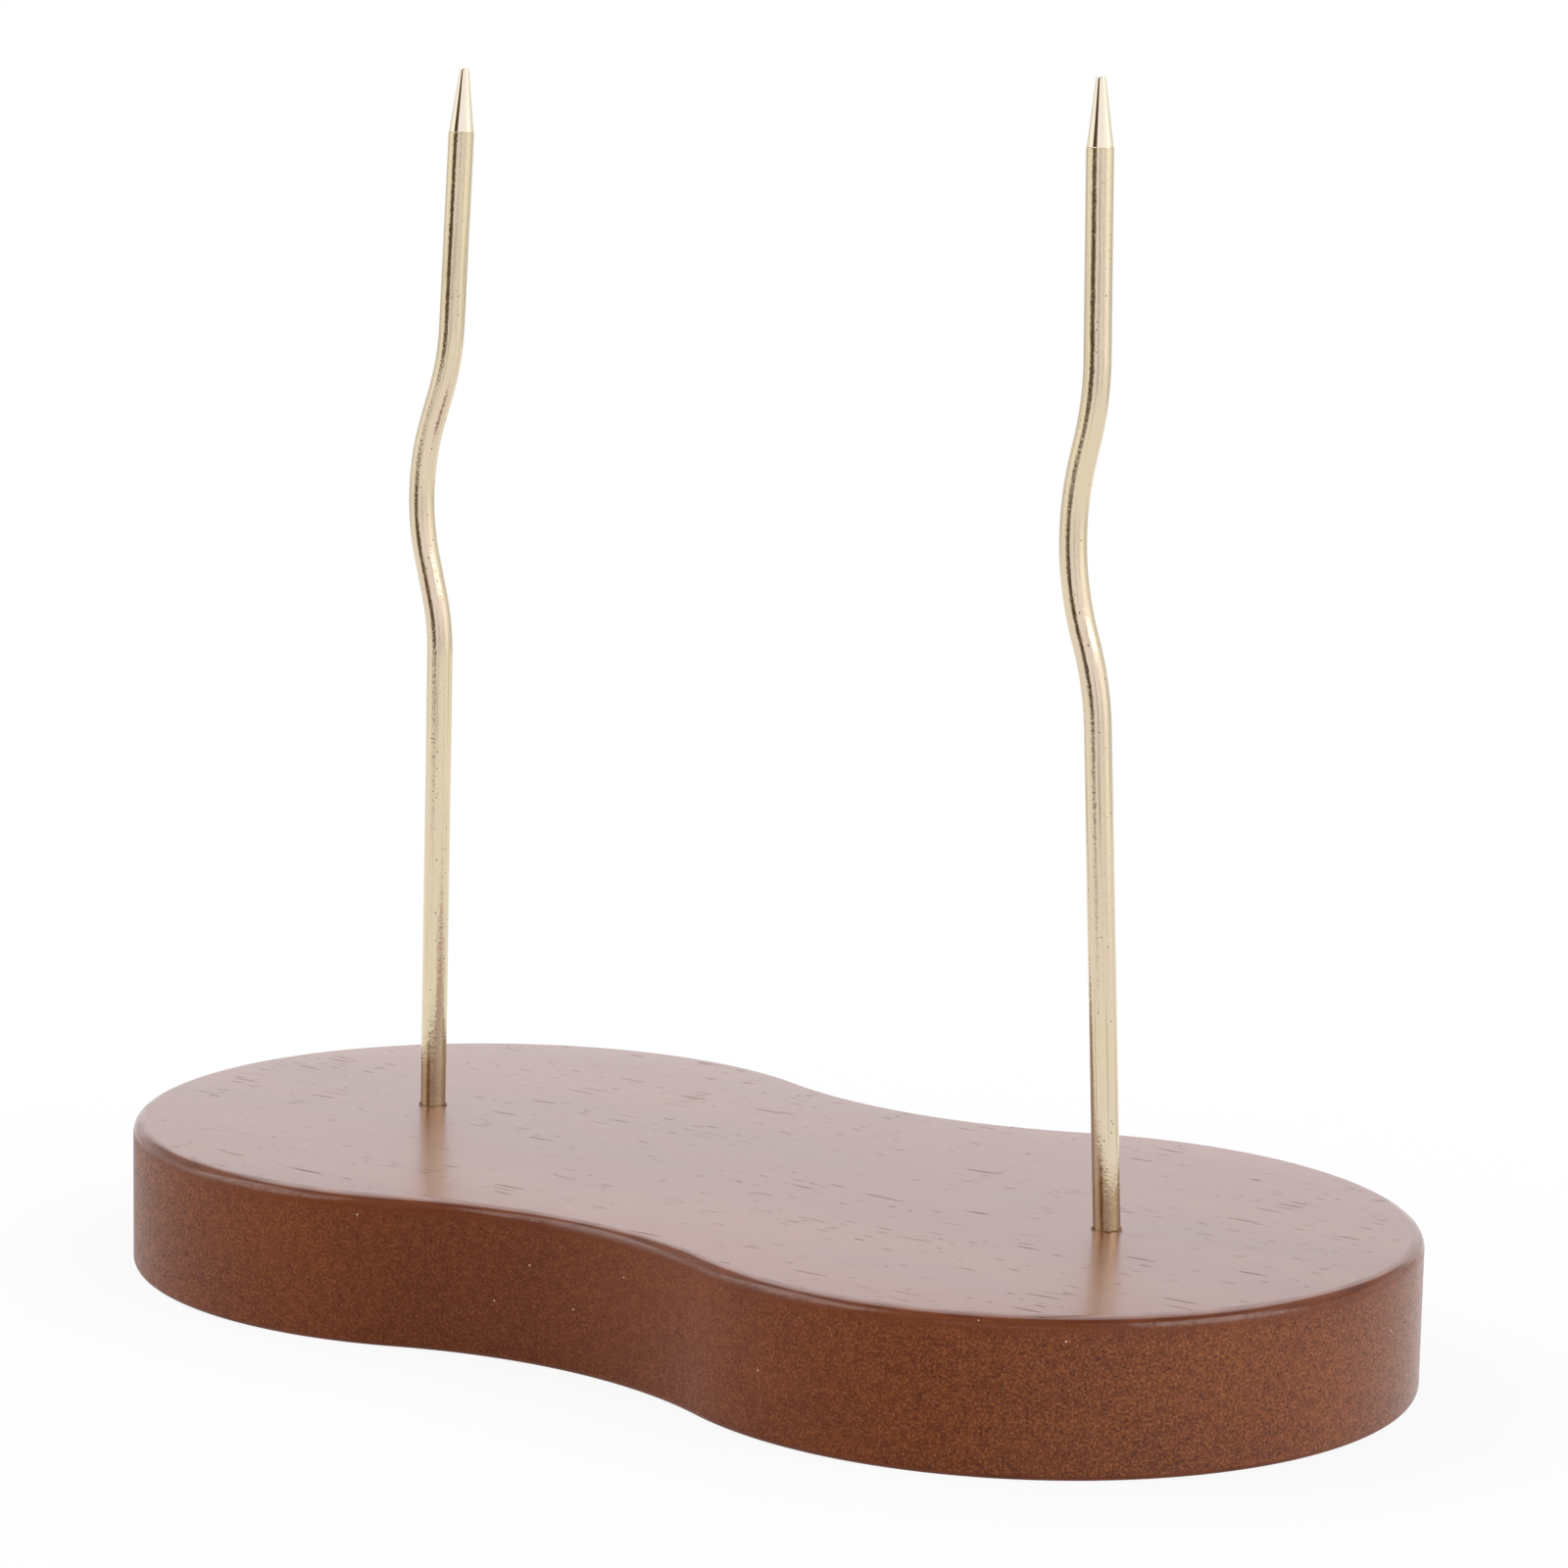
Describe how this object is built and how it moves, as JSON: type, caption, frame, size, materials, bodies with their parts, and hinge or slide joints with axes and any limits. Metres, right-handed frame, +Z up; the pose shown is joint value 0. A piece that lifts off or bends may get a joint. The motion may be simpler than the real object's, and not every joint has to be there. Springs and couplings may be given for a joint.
{
  "type": "bill spike",
  "caption": "Desk bill spike: a waisted, veneered wooden board that carries bent and pointed metal rods, on which paper slips are pushed and kept.",
  "frame": {"origin": "centre of the board's underside", "axes": "+X along the board from the left spike to the right spike, +Y away from the viewer, +Z up"},
  "size_m": [0.17, 0.09, 0.1482],
  "materials": {
    "fibreboard": "red-brown stained fibreboard edge with fine flecks under satin lacquer",
    "veneer": "red-brown stained open-pored veneer under satin lacquer",
    "rod": "bright pale gold plating with fine pits",
    "adhesive": "cured adhesive, dark and glossy"
  },
  "bodies": {
    "root": {"board_core": "fibreboard", "top_veneer": "veneer", "bottom_veneer": "veneer", "left_spike": "rod", "right_spike": "rod", "left_socket_glue": "adhesive", "right_socket_glue": "adhesive"}
  },
  "joints": []
}
